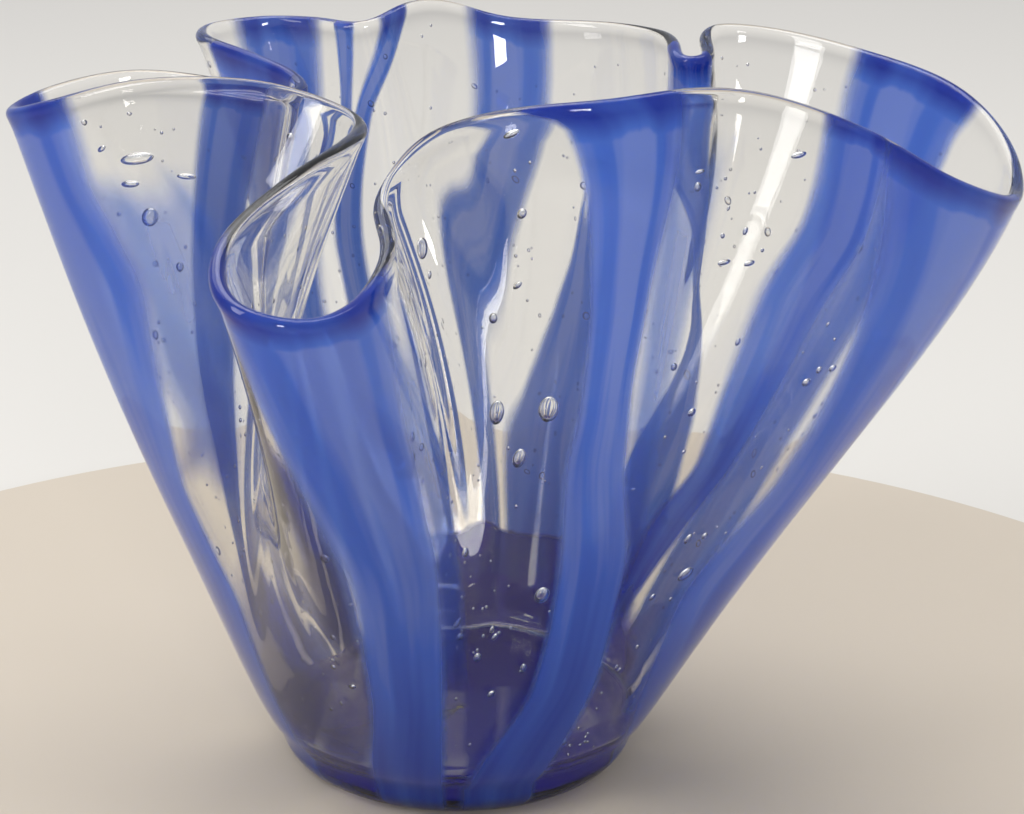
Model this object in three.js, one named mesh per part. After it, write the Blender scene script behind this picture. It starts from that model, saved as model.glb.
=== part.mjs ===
// A hand-blown "handkerchief" bowl of clear glass cased over strips of cobalt glass.
// Millimetres, +Z up. The origin is the middle of the flat ground base, which stands on z = 0.
//
// The wall is laid up the way the maker does it: a clear inner gather, cobalt strips laid up its
// outside, and a clear outer casing that closes over the strips, the rim and the base.
// One surface, the outside of the bowl, is worked out from the foot circle and the rim. Every
// layer is that surface moved inwards by its own depth.
import * as THREE from "three";
import { mergeVertices } from "three/addons/utils/BufferGeometryUtils.js";

// ---- Driving dimensions ----

const bowlHeight = 206; // base to the highest part of the rim
const rimReach = 100; // mean distance of the rim from its own centre
const rimLeanX = 13; // the rim's centre stands this far from the foot's
const rimLeanY = -12;
const footRadius = 51; // outside of the wall where it leaves the heel
const heelHeight = 10; // rounded edge under the wall
const floorThickness = 14; // base to the inside floor
const floorRound = 6; // fillet between the inside floor and the wall
const baseThickness = 4.5; // casing under the inner gather

const innerThickness = 1.1; // clear inner gather
const stripThickness = 0.7; // cobalt strips
const stripEdge = 0.35; // thickness that a strip thins to at its two long edges
const coverThickness = 1.0; // clear casing over a strip
const layerGap = 0.3; // clearance between two layers
const lipHeight = 1.6; // how far the rim bead reaches down over the layers inside it
const lipCrown = 0.7; // how far the bead's rounded top stands up
const seamWidth = 1.4; // ramp at each side of a strip's bed, measured at the foot

const flareShape = 0.7; // under 1: the round part of the bowl opens early and then straightens
const ruffleShape = 1.75; // over 1: the ruffles die away towards the foot
const leanShape = 3.5; // over 1: the bowl stands straight on its foot and leans near the rim
const footTurn = 215; // direction in which the glass of the rim's first point leaves the foot

// ---- The rim ----

// Points on the rim, anticlockwise as seen from above. Each is [direction from the rim's centre in
// degrees, push outwards past rimReach, drop below bowlHeight].
const frontLeftLobe = [
  [214, -54, 16], [227, -37, 18], [231, -16, 21], [235, 19, 31], [241, 34, 39],
  [248, 32, 42], [252, 18, 42], [252, -13, 34],
];
const frontWall = [
  [243, -33, 26], [246, -40, 17], [257, -35, 10], [271, -30, 5], [288, -26, 3],
  [307, -25, 2], [320, -19, 5], [335, 0, 17], [342, 15, 29],
];
const rightLobe = [
  [348, 26, 36], [357, 35, 41], [8, 39, 33], [18, 34, 22], [36, 25, 16], [48, 18, 13],
  [55, 8, 12], [54, -3, 13],
];
const backRightFold = [[47, -15, 17], [50, -20, 17]];
const backLobe = [[56, -7, 14], [62, 3, 14], [73, 15, 15], [90, 20, 15], [99, 17, 9], [107, 9, 9]];
const backLeftFold = [[113, 2, 13]];
const backLeftLobe = [
  [116, 12, 12], [122, 30, 13], [131, 33, 14], [138, 20, 14], [140, -5, 16],
];
const leftFold = [[141, -26, 20], [147, -31, 22]];
const leftLobe = [
  [149, -8, 20], [153, 18, 19], [162, 34, 22], [172, 37, 24], [178, 20, 18], [182, -3, 11],
  [188, -36, 10], [200, -52, 14],
];
const rimPoints = [
  ...frontLeftLobe, ...frontWall, ...rightLobe, ...backRightFold, ...backLobe,
  ...backLeftFold, ...backLeftLobe, ...leftFold, ...leftLobe,
];

// ---- The cobalt strips ----

// Each strip is [from, to along the rim in per cent of its length, from, to round the foot in
// degrees], all anticlockwise. The rim is measured from its first point and the foot from +X, and
// the foot's degrees go on past 360 so that they always rise.
const strips = [
  [6.5, 15.1, 240, 266], // front-left lobe
  [23.7, 26.1, 274, 310], // front wall
  [29.6, 30.9, 319, 327],
  [32.1, 37.6, 333, 358], // right lobe
  [41.8, 45.6, 367, 382],
  [50.7, 53.2, 394, 407], // back-right fold
  [56.3, 57.6, 414, 432],
  [58.8, 61.4, 438, 450], // back lobe
  [64.0, 66.0, 456, 463],
  [68.2, 69.3, 469, 474], // back-left fold
  [70.6, 72.8, 480, 488],
  [75.3, 78.6, 493, 503], // back-left lobe
  [80.6, 82.2, 509, 516], // left fold
  [87.4, 91.7, 528, 549], // left lobe
];

// ---- Working values ----

const coverDepth = coverThickness; // bed of a strip in the casing
const stripOuterDepth = coverDepth + layerGap;
const stripInnerDepth = stripOuterDepth + stripThickness;
const innerOuterDepth = stripInnerDepth + layerGap; // outside of the inner gather
const casingDepth = innerOuterDepth - layerGap; // inside of the casing between strips
const wallThickness = innerOuterDepth + innerThickness;

const wallRows = [0, 0.1, 0.22, 0.36, 0.52, 0.68, 0.84]; // below the bead, as shares of the way up
const columnsPerRimPoint = 2;
const filletSteps = 2;
const lipUp = 1 - lipHeight / bowlHeight;
const layerTop = lipUp - layerGap / bowlHeight; // inner gather and strips stop under the bead
const seamShare = seamWidth / (2 * Math.PI * footRadius);
const closestShare = 0.6; // columns nearer than this share of their spacing to an edge are left out
const samplesPerRimPoint = 40; // for measuring along the rim
const small = 1e-3; // step for slopes, as a share

const degrees = (angle) => THREE.MathUtils.degToRad(angle);
const mix = THREE.MathUtils.lerp;

// ---- The outside surface ----

const rimCurve = new THREE.CatmullRomCurve3(
  rimPoints.map(([direction, push, drop]) => {
    const reach = rimReach + push;
    const x = rimLeanX + reach * Math.cos(degrees(direction));
    const y = rimLeanY + reach * Math.sin(degrees(direction));
    return new THREE.Vector3(x, y, bowlHeight - drop);
  }),
  true,
  "centripetal",
);
rimCurve.arcLengthDivisions = rimPoints.length * samplesPerRimPoint;

const wrapped = (share) => THREE.MathUtils.euclideanModulo(share, 1);

// A point of the outside wall. `along` runs round the rim from 0 to 1 and `up` from heel to rim.
function outside(along, up) {
  const rim = rimCurve.getPointAt(wrapped(along));
  const turn = degrees(footTurn + 360 * along);
  const ruffle = Math.max(up, 0) ** ruffleShape;
  const round = footRadius + (rimReach - footRadius) * Math.max(up, 0) ** flareShape;
  const lean = Math.max(up, 0) ** leanShape;
  const x = rimLeanX * lean + round * Math.cos(turn);
  const y = rimLeanY * lean + round * Math.sin(turn);
  return new THREE.Vector3(
    mix(x, rim.x, ruffle),
    mix(y, rim.y, ruffle),
    mix(heelHeight, rim.z, up),
  );
}

// The same point moved `depth` into the glass, square to the surface.
function wall(along, up, depth) {
  const steadyUp = Math.max(up, small);
  const across = outside(along + small, steadyUp).sub(outside(along - small, steadyUp));
  const rise = outside(along, steadyUp + small).sub(outside(along, steadyUp - small));
  const outward = across.cross(rise).normalize();
  return outside(along, up).addScaledVector(outward, -depth);
}

// ---- Columns: lines that every layer shares, so the clearances between them hold ----

const footShare = (angle) => (angle - footTurn) / 360;

// Each column is { rim, foot, strip }: its place along the rim, its place round the foot and the
// number of the strip that it borders or crosses, or -1 over clear glass.
function stripColumns() {
  const columns = [];
  strips.forEach(([rimFrom, rimTo, footFrom, footTo], strip) => {
    const rim = [rimFrom / 100, rimTo / 100];
    const foot = [footShare(footFrom), footShare(footTo)];
    const before = seamBefore(strip);
    const after = seamBefore(strip + 1);
    columns.push({ rim: rim[0] - before, foot: foot[0] - before, strip: -1 });
    columns.push({ rim: rim[0], foot: foot[0], strip });
    columns.push({ rim: rim[1], foot: foot[1], strip });
    columns.push({ rim: rim[1] + after, foot: foot[1] + after, strip: -1 });
  });
  return columns;
}

// Width of the ramps in the clear glass ahead of a strip, which leave a third of it level.
function seamBefore(strip) {
  const count = strips.length;
  const before = strips[(strip + count - 1) % count];
  const after = strips[strip % count];
  const rimClear = wrapped((after[0] - before[1]) / 100);
  const footClear = wrapped(footShare(after[2]) - footShare(before[3]));
  return Math.min(seamShare, rimClear / 3, footClear / 3);
}

// The place round the foot that belongs to a place along the rim, between two known columns.
function footBetween(before, after, rim) {
  return mix(before.foot, after.foot, (rim - before.rim) / (after.rim - before.rim));
}

// A column taken whole turns further or back.
function shifted(column, turns) {
  return { rim: column.rim + turns, foot: column.foot + turns, strip: column.strip };
}

// Columns spaced like the rim's own points, so they crowd where it turns sharply.
function regularShares() {
  const lengths = rimCurve.getLengths();
  const steps = lengths.length - 1;
  const count = rimPoints.length * columnsPerRimPoint;
  const shares = [];
  for (let i = 0; i < count; i += 1) {
    shares.push(lengths[Math.round((i / count) * steps)] / lengths[steps]);
  }
  return shares;
}

function allColumns() {
  const edges = stripColumns();
  const regular = regularShares();
  const closest = closestShare / regular.length;
  const columns = [...edges];
  for (const rim of regular) {
    if (edges.some((edge) => Math.abs(edge.rim - rim) < closest)) continue;
    const next = edges.findIndex((edge) => edge.rim > rim);
    const last = edges.length - 1;
    const before = next > 0 ? edges[next - 1] : shifted(edges[last], next < 0 ? 0 : -1);
    const after = next >= 0 ? edges[next] : shifted(edges[0], 1);
    const inStrip = before.strip >= 0 && before.strip === after.strip;
    columns.push({
      rim,
      foot: footBetween(before, after, rim),
      strip: inStrip ? before.strip : -1,
    });
  }
  return columns.sort((a, b) => a.rim - b.rim);
}

const columns = allColumns();
const along = (column, up) => mix(column.foot, column.rim, up);

// One level line of a layer: a point on each of the given columns.
function row(rowColumns, up, depthOf) {
  return rowColumns.map((column) => wall(along(column, up), up, depthOf(column)));
}

const deep = (depth) => () => depth;

// ---- Closed bodies from rows ----

function solid(name, vertices, triangles, material) {
  const geometry = new THREE.BufferGeometry();
  const positions = vertices.flatMap((vertex) => vertex.toArray());
  geometry.setAttribute("position", new THREE.Float32BufferAttribute(positions, 3));
  geometry.setIndex(triangles.flat());
  const merged = mergeVertices(geometry);
  merged.computeVertexNormals();
  const mesh = new THREE.Mesh(merged, material);
  mesh.name = name;
  return mesh;
}

// The side of a body between its rows, each a closed ring of the same number of points. Where
// `crossed` is true a face is split along its other diagonal.
function sideFaces(rows, crossed) {
  const width = rows[0].length;
  const triangles = [];
  for (let r = 0; r + 1 < rows.length; r += 1) {
    for (let c = 0; c < width; c += 1) {
      const a = r * width + c;
      const b = r * width + ((c + 1) % width);
      const [above, nextAbove] = [a + width, b + width];
      if (crossed(r, c)) triangles.push([a, b, above], [b, nextAbove, above]);
      else triangles.push([a, b, nextAbove], [a, nextAbove, above]);
    }
  }
  return triangles;
}

// A round cup: rows that go up its outside, then rows that go down its inside. Faces that lie over
// each other in two skins are split the same way, so the clearance between them holds.
function cup(name, rowsUp, rowsDown, material) {
  const rows = [...rowsUp, ...rowsDown];
  const width = rows[0].length;
  const vertices = rows.flat();
  const triangles = sideFaces(rows, (r) => r >= rowsUp.length);
  const under = vertices.length;
  const inside = under + 1;
  const lastRow = (rows.length - 1) * width;
  vertices.push(new THREE.Vector3(0, 0, rows[0][0].z));
  vertices.push(new THREE.Vector3(0, 0, rows[rows.length - 1][0].z));
  for (let c = 0; c < width; c += 1) {
    const next = (c + 1) % width;
    triangles.push([under, next, c], [inside, lastRow + c, lastRow + next]);
  }
  return solid(name, vertices, triangles, material);
}

// A fillet from the wall in to a flat floor, as level rings, going down. `wallRadius` is the
// radius of the wall where the fillet starts, at floorHeight + radius.
function fillet(wallRadius, floorHeight, radius, startUp) {
  const rings = [];
  for (let step = 1; step <= filletSteps; step += 1) {
    const turn = (step / filletSteps) * (Math.PI / 2);
    const r = wallRadius - radius + radius * Math.cos(turn);
    const z = floorHeight + radius - radius * Math.sin(turn);
    rings.push(columns.map((column) => {
      const angle = degrees(footTurn + 360 * along(column, startUp));
      return new THREE.Vector3(r * Math.cos(angle), r * Math.sin(angle), z);
    }));
  }
  return rings;
}

// ---- Sub-parts ----

const clearGlass = () => new THREE.MeshStandardMaterial({
  color: 0xdfe7ea, roughness: 0.03, metalness: 0, transparent: true, opacity: 0.3,
});
const cobaltGlass = () => new THREE.MeshStandardMaterial({
  color: 0x2f4fb4, roughness: 0.08, metalness: 0, transparent: true, opacity: 0.75,
});

// Clear inner gather: the inside wall and the thick floor.
function innerGather() {
  const under = baseThickness;
  const outsideRows = [...wallRows, layerTop];
  const floorUp = (floorThickness + floorRound - heelHeight) / (bowlHeight - heelHeight);
  const insideRows = [floorUp, ...outsideRows.filter((up) => up > floorUp + small)].reverse();
  const underRadius = footRadius - innerOuterDepth;
  const floorRadius = wallRadiusAt(floorUp) - wallThickness;
  const rowsUp = [
    ...fillet(underRadius, under, heelHeight - under, 0).reverse(),
    ...outsideRows.map((up) => row(columns, up, deep(innerOuterDepth))),
  ];
  const rowsDown = [
    ...insideRows.map((up) => row(columns, up, deep(wallThickness))),
    ...fillet(floorRadius, floorThickness, floorRound, floorUp),
  ];
  return cup("inner_gather", rowsUp, rowsDown, clearGlass());
}

// Radius of the bowl's round part at a share of the way up.
function wallRadiusAt(up) {
  return footRadius + (rimReach - footRadius) * up ** flareShape;
}

// Clear outer casing: the outside wall with a bed for each strip, the rim bead and the base.
function outerCasing() {
  const bed = (column) => (column.strip < 0 ? casingDepth : coverDepth);
  const under = baseThickness - layerGap;
  const insideRows = [...wallRows, layerTop, lipUp].reverse();
  const crownUp = 1 + lipCrown / bowlHeight;
  const rowsUp = [
    ...fillet(footRadius, 0, heelHeight, 0).reverse(),
    ...[...wallRows, 1].map((up) => row(columns, up, deep(0))),
    row(columns, crownUp, deep(wallThickness / 2)),
    row(columns, 1, deep(wallThickness)),
  ];
  const rowsDown = [
    row(columns, lipUp, deep(wallThickness)),
    ...insideRows.map((up) => row(columns, up, bed)),
    ...fillet(footRadius - casingDepth, under, heelHeight - under, 0),
  ];
  return cup("outer_casing", rowsUp, rowsDown, clearGlass());
}

// One cobalt strip, from the heel to just under the rim bead.
function blueStrip(strip) {
  const own = columns.filter((column) => column.strip === strip);
  const edges = [own[0], own[own.length - 1]];
  const outerDepth = (column) =>
    (edges.includes(column) ? stripInnerDepth - stripEdge : stripOuterDepth);
  const rows = [...wallRows, layerTop].map((up) => [
    ...row(own, up, outerDepth),
    ...row(own, up, deep(stripInnerDepth)).reverse(),
  ]);
  const width = rows[0].length;
  const triangles = sideFaces(rows, (_, c) => c >= own.length);
  const top = (rows.length - 1) * width;
  for (let c = 0; c + 1 < own.length; c += 1) {
    const back = width - 1 - c;
    triangles.push([c + 1, c, back], [c + 1, back, back - 1]);
    triangles.push([top + c, top + c + 1, top + back - 1], [top + c, top + back - 1, top + back]);
  }
  const number = String(strip + 1).padStart(2, "0");
  return solid(`blue_strip_${number}`, rows.flat(), triangles, cobaltGlass());
}

const bowl = new THREE.Group();
bowl.add(innerGather());
strips.forEach((_, strip) => bowl.add(blueStrip(strip)));
bowl.add(outerCasing());

export default bowl;
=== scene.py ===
"""A hand-blown handkerchief bowl: one wall of clear glass with strips of cobalt glass inside it.

Metres, +Z up. The origin is the middle of the flat base. A place on the wall is given as `along`,
round the rim from 0 to 1, and `up`, from the heel at 0 to the rim at 1. The clear glass and the
strips in it are laid on that one surface, each at its own depth.
"""

import math

import bmesh
import bpy
import numpy as np
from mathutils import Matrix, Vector, noise


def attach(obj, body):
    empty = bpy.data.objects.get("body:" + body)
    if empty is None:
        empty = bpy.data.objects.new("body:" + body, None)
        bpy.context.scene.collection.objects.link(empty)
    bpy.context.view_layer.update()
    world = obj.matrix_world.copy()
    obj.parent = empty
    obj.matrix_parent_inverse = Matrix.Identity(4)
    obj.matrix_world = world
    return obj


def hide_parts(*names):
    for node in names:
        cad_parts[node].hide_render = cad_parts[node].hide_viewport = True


bl_info = {
    "name": "Handkerchief Bowl",
    "version": (1, 0, 0),
    "blender": (4, 5, 0),
    "location": "View3D > Sidebar > Bowl",
    "description": "Builds a ruffled art glass bowl with cobalt strips, and its stage",
    "category": "Object",
}

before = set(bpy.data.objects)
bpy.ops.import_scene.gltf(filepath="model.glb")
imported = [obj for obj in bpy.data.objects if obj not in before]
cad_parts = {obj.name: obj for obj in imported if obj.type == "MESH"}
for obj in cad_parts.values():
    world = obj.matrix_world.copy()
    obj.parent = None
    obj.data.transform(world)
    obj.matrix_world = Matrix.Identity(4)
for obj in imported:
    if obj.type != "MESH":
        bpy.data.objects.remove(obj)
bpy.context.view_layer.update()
MM = 0.001

# ---- The rim ----

# Each point is (direction from the rim's own centre in degrees, push outwards past the rim's mean
# reach in mm, drop below the bowl's height in mm), anticlockwise as seen from above.
FRONT_LEFT_LOBE = [
    (214, -54, 16), (227, -37, 18), (231, -16, 21), (235, 19, 31), (241, 34, 39),
    (248, 32, 42), (252, 18, 42), (252, -13, 34),
]
FRONT_WALL = [
    (243, -33, 26), (246, -40, 17), (257, -35, 10), (271, -30, 5), (288, -26, 3),
    (307, -25, 2), (320, -19, 5), (335, 0, 17), (342, 15, 29),
]
RIGHT_LOBE = [
    (348, 26, 36), (357, 35, 41), (8, 39, 33), (18, 34, 22), (36, 25, 16), (48, 18, 13),
    (55, 8, 12), (54, -3, 13),
]
BACK_RIGHT_FOLD = [(47, -15, 17), (50, -20, 17)]
BACK_LOBE = [(56, -7, 14), (62, 3, 14), (73, 15, 15), (90, 20, 15), (99, 17, 9), (107, 9, 9)]
BACK_LEFT_FOLD = [(113, 2, 13)]
BACK_LEFT_LOBE = [(116, 12, 12), (122, 30, 13), (131, 33, 14), (138, 20, 14), (140, -5, 16)]
LEFT_FOLD = [(141, -26, 20), (147, -31, 22)]
LEFT_LOBE = [
    (149, -8, 20), (153, 18, 19), (162, 34, 22), (172, 37, 24), (178, 20, 18), (182, -3, 11),
    (188, -36, 10), (200, -52, 14),
]
RIM_POINTS = [
    *FRONT_LEFT_LOBE, *FRONT_WALL, *RIGHT_LOBE, *BACK_RIGHT_FOLD, *BACK_LOBE,
    *BACK_LEFT_FOLD, *BACK_LEFT_LOBE, *LEFT_FOLD, *LEFT_LOBE,
]
FOOT_TURN = 215  # direction in degrees in which the rim's first point leaves the foot
RIM_LEAN = (13 * MM, -12 * MM)  # where the rim's centre stands from the foot's
FLARE_SHAPE = 0.7  # under 1: the round part of the bowl opens early
RUFFLE_SHAPE = 1.75  # over 1: the ruffles die away towards the foot
LEAN_SHAPE = 3.5  # over 1: the bowl stands straight on its foot and leans near the rim
RIM_SAMPLES = 240  # between two rim points
SLOPE_STEP = 1e-3
EVEN_STEPS = 8192
RIM_SOFTNESS = 6 * MM

# ---- The cobalt strips ----

# Each strip is a list of (up, from, to) with the last two in per cent of the way along the rim.
STRIPS = {
    "front_left_lobe": [
        (0.0, 8.0, 14.5), (0.24, 10.3, 15.0), (0.47, 10.7, 15.3), (0.64, 10.1, 14.9),
        (0.84, 9.2, 14.4), (0.95, 8.8, 14.5), (0.985, 8.0, 14.8), (1.0, 6.6, 15.1),
    ],
    "front_wall": [
        (0.0, 15.6, 22.4), (0.08, 17.2, 23.8), (0.19, 20.2, 25.1), (0.36, 21.4, 25.2),
        (0.53, 21.8, 24.4), (0.61, 22.4, 24.4), (0.76, 23.0, 24.9), (0.93, 23.3, 26.0),
        (0.985, 23.2, 26.3), (1.0, 22.2, 26.4),
    ],
    "front_right_wall": [
        (0.26, 24.6, 25.2), (0.33, 24.9, 26.6), (0.41, 25.5, 28.3), (0.51, 27.5, 29.8),
        (0.61, 27.8, 30.6), (0.74, 28.3, 31.2), (0.87, 29.5, 31.9), (1.0, 29.9, 32.0),
    ],
    "right_lobe": [
        (0.0, 31.5, 40.0), (0.13, 29.2, 39.6), (0.27, 29.0, 39.0), (0.38, 30.6, 38.4),
        (0.5, 32.2, 37.6), (0.64, 32.5, 37.4), (0.78, 32.3, 37.4), (0.9, 31.9, 37.5),
        (1.0, 31.5, 37.6),
    ],
    "right_lobe_back": [
        (0.0, 41.2, 47.4), (0.3, 41.6, 47.0), (0.6, 42.0, 46.0), (0.93, 42.2, 46.6),
        (1.0, 41.8, 46.4),
    ],
    "back_right_fold": [
        (0.0, 48.0, 54.0), (0.2, 48.2, 53.4), (0.3, 48.6, 52.6), (0.41, 49.2, 51.3),
        (0.52, 50.0, 50.9), (0.62, 51.2, 52.2), (0.76, 52.6, 53.9), (0.88, 53.1, 55.7),
        (1.0, 52.9, 55.6),
    ],
    "back_right_wall": [
        (0.0, 54.4, 62.0), (0.16, 54.8, 62.0), (0.3, 56.6, 61.9), (0.54, 57.8, 60.2),
        (0.63, 58.7, 59.8), (0.74, 59.1, 59.6),
    ],
    "back_lobe": [
        (0.0, 62.2, 66.2), (0.24, 62.3, 65.1), (0.53, 62.6, 65.4), (0.86, 61.0, 63.9),
        (1.0, 60.9, 63.7),
    ],
    "back_left_fold_right": [
        (0.0, 66.8, 70.6), (0.3, 68.0, 70.4), (0.62, 68.9, 70.4), (0.85, 67.8, 68.5),
        (1.0, 65.7, 66.9),
    ],
    "back_left_fold_left": [(0.72, 69.5, 69.8), (0.85, 68.55, 69.0), (1.0, 67.7, 68.4)],
    "back_left_lobe_right": [
        (0.0, 71.0, 76.2), (0.5, 71.2, 74.6), (0.9, 69.3, 72.2), (1.0, 68.8, 71.9),
    ],
    "back_left_lobe": [(0.0, 76.8, 81.2), (0.5, 76.4, 79.6), (1.0, 75.1, 78.8)],
    "left_fold": [(0.0, 81.6, 85.6), (0.3, 81.2, 84.0), (1.0, 80.4, 82.4)],
    "left_lobe": [
        (0.0, 90.2, 102.0), (0.1, 89.8, 100.8), (0.19, 89.4, 99.6), (0.25, 89.2, 98.8),
        (0.32, 88.8, 96.6), (0.42, 88.4, 94.8), (0.55, 87.6, 94.6), (0.7, 87.2, 94.2),
        (0.8, 87.0, 93.2), (0.88, 87.0, 92.4), (1.0, 87.2, 92.0),
    ],
}

# Where cobalt has pooled at the foot, given in the same way.
POOLS = {
    "back_wall": [
        (0.003, 43.0, 73.0), (0.05, 44.6, 72.0), (0.09, 46.6, 71.0), (0.13, 49.0, 69.6),
        (0.17, 51.0, 68.4),
    ],
    "under_floor": [(0.0, 3.0, 102.0), (0.004, 3.0, 102.0), (0.008, 3.0, 102.0)],
}

# Where cobalt is drawn out into a thin milky veil beside a strip, given in the same way.
VEILS = {
    "left_lobe": [
        (0.40, 93.6, 99.6), (0.5, 94.6, 99.4), (0.6, 92.6, 99.0), (0.72, 92.0, 98.2),
        (0.8, 91.8, 97.2), (0.9, 91.4, 95.2),
    ],
    "front_left_lobe": [
        (0.2, 14.4, 16.4), (0.5, 14.6, 17.0), (0.8, 13.8, 16.2), (0.97, 14.0, 15.6),
    ],
    "front_left_wall": [
        (0.03, 94.0, 108.4), (0.12, 95.0, 108.6), (0.22, 96.4, 108.8), (0.32, 98.0, 108.0),
        (0.39, 99.4, 106.4),
    ],
    "front_left_fold": [
        (0.30, 8.2, 10.4), (0.42, 8.2, 10.8), (0.55, 8.4, 10.9), (0.68, 8.4, 10.5),
        (0.78, 8.2, 10.0),
    ],
    "front_wall": [
        (0.2, 24.8, 26.4), (0.5, 24.0, 26.0), (0.7, 24.4, 26.4), (0.97, 25.6, 27.6),
    ],
}

# Veils that are smoky and violet and not milky.
SMOKY_VEILS = ("front_left_wall", "front_left_fold")

# Strips on the far side, which are thinner and hide less of what is behind them.
THIN_STRIPS = (
    "front_right_wall", "back_lobe", "back_left_fold_right", "back_left_fold_left",
    "back_left_lobe_right",
)

# ---- The bubbles ----

# Each larger bubble is (along in per cent, up, length in mm, width in mm, lean in degrees).
LARGE_BUBBLES = [
    (93.8, 0.9, 9.7, 3.2, 80), (94.2, 0.815, 5.4, 4.6, 40), (93.55, 0.865, 5.4, 1.9, 85),
    (95.35, 0.873, 5.4, 1.6, 85), (92.7, 0.923, 2.7, 1.4, 60), (95.35, 0.745, 2.7, 2.2, 0),
    (94.15, 0.641, 2.7, 1.9, 0), (91.55, 0.9, 2.2, 1.4, 30), (23.85, 0.942, 7.0, 3.8, 75),
    (22.0, 0.981, 4.3, 1.6, 85), (24.85, 0.923, 3.2, 1.4, 80), (18.55, 0.907, 5.4, 3.0, 25),
    (18.5, 0.873, 2.2, 1.1, 30), (21.05, 0.799, 2.7, 1.4, 60), (20.05, 0.768, 2.7, 2.2, 30),
    (24.5, 0.768, 3.2, 3.0, 0), (23.0, 0.687, 2.7, 2.2, 20), (21.45, 0.625, 7.0, 4.9, 15),
    (19.55, 0.645, 6.5, 3.8, 20), (20.15, 0.568, 5.4, 3.2, 25), (22.4, 0.544, 4.3, 2.4, 15),
    (14.3, 0.71, 5.9, 2.4, 20), (29.3, 0.328, 5.4, 3.8, 60), (22.25, 0.286, 5.9, 4.3, 10),
    (20.85, 0.347, 4.9, 3.8, 20), (24.9, 0.394, 3.8, 2.2, 20), (23.4, 0.78, 2.7, 1.4, 5),
    (16.1, 0.826, 2.4, 1.4, 10), (28.75, 0.541, 3.2, 3.0, 0), (34.7, 0.753, 5.4, 3.8, 80),
    (33.85, 0.66, 3.2, 2.2, 20), (31.85, 0.668, 2.2, 1.6, 0), (31.55, 0.645, 2.7, 2.2, 60),
    (29.65, 0.649, 2.2, 1.6, 20), (27.85, 0.83, 2.2, 1.4, 20), (27.25, 0.788, 3.8, 1.4, 85),
    (28.1, 0.788, 3.2, 1.4, 80), (29.3, 0.942, 4.3, 1.6, 80), (26.45, 0.907, 2.7, 1.1, 85),
    (10.35, 0.803, 7.0, 2.4, 100), (17.15, 0.29, 2.7, 2.2, 0), (19.85, 0.232, 2.7, 1.6, 10),
    (11.5, 0.201, 3.8, 1.9, 70), (27.3, 0.463, 2.2, 1.4, 10), (26.8, 0.421, 2.4, 1.6, 30),
    (28.55, 0.386, 3.2, 1.9, 30), (27.4, 0.297, 2.4, 1.6, 40), (25.85, 0.653, 2.2, 1.9, 0),
    (16.1, 0.344, 2.2, 1.9, 0), (28.2, 0.68, 2.2, 1.4, 20), (31.6, 0.849, 2.7, 1.9, 40),
    (10.05, 0.68, 2.4, 1.6, 30), (11.35, 0.656, 1.9, 1.6, 0), (9.2, 0.359, 2.2, 1.6, 20),
    (3.9, 0.409, 2.4, 1.6, 30), (9.35, 0.247, 2.7, 1.6, 60),
]


# ---- What a user would change ----


class BowlSizes(bpy.types.PropertyGroup):
    height: bpy.props.FloatProperty(
        name="Height", description="Base to the highest part of the rim",
        default=0.206, min=0.05, unit="LENGTH",
    )
    rim_reach: bpy.props.FloatProperty(
        name="Rim reach", description="Mean distance of the rim from its own centre",
        default=0.100, min=0.03, unit="LENGTH",
    )
    foot_radius: bpy.props.FloatProperty(
        name="Foot radius", description="Outside of the wall where it leaves the heel",
        default=0.051, min=0.01, unit="LENGTH",
    )
    heel_height: bpy.props.FloatProperty(
        name="Heel height", description="Rounded edge under the wall",
        default=0.010, min=0.001, unit="LENGTH",
    )
    floor_thickness: bpy.props.FloatProperty(
        name="Floor thickness", description="Base to the inside floor",
        default=0.014, min=0.002, unit="LENGTH",
    )
    floor_round: bpy.props.FloatProperty(
        name="Floor round", description="Fillet between the inside floor and the wall",
        default=0.008, min=0.001, unit="LENGTH",
    )
    wall: bpy.props.FloatProperty(
        name="Wall", description="Thickness of the glass at the rim",
        default=0.0034, min=0.001, unit="LENGTH",
    )
    low_wall: bpy.props.FloatProperty(
        name="Low wall", description="Thickness of the glass just above the floor",
        default=0.0056, min=0.001, unit="LENGTH",
    )
    bead: bpy.props.FloatProperty(
        name="Rim bead", description="How far the round rim swells past each face of the wall",
        default=0.0003, min=0.0, unit="LENGTH",
    )
    ripple: bpy.props.FloatProperty(
        name="Ripple", description="Unevenness left by the blowing",
        default=0.00005, min=0.0, unit="LENGTH",
    )


class StripSizes(bpy.types.PropertyGroup):
    depth: bpy.props.FloatProperty(
        name="Depth", description="Clear glass over a strip",
        default=0.0007, min=0.0001, unit="LENGTH",
    )
    thickness: bpy.props.FloatProperty(
        name="Thickness", description="Cobalt glass in the middle of a strip",
        default=0.0012, min=0.0001, unit="LENGTH",
    )
    rim_thickness: bpy.props.FloatProperty(
        name="Rim thickness", description="Cobalt glass where a strip fills the rim bead",
        default=0.0025, min=0.0001, unit="LENGTH",
    )
    base_depth: bpy.props.FloatProperty(
        name="Base depth", description="Clear glass under a strip below the floor",
        default=0.0034, min=0.0001, unit="LENGTH",
    )
    edge: bpy.props.FloatProperty(
        name="Edge", description="Thickness left at a strip's edge, as a share",
        default=0.15, min=0.01, max=1.0, subtype="FACTOR",
    )
    veil_depth: bpy.props.FloatProperty(
        name="Veil depth", description="Clear glass over a thin veil of cobalt",
        default=0.0021, min=0.0001, unit="LENGTH",
    )
    veil_feather: bpy.props.FloatProperty(
        name="Veil feather", description="Share of a veil's width over which it fades",
        default=0.85, min=0.0, max=1.0, subtype="FACTOR",
    )
    feather: bpy.props.FloatProperty(
        name="Feather", description="Share of a strip's width over which it fades at each side",
        default=0.30, min=0.0, max=1.0, subtype="FACTOR",
    )


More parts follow.
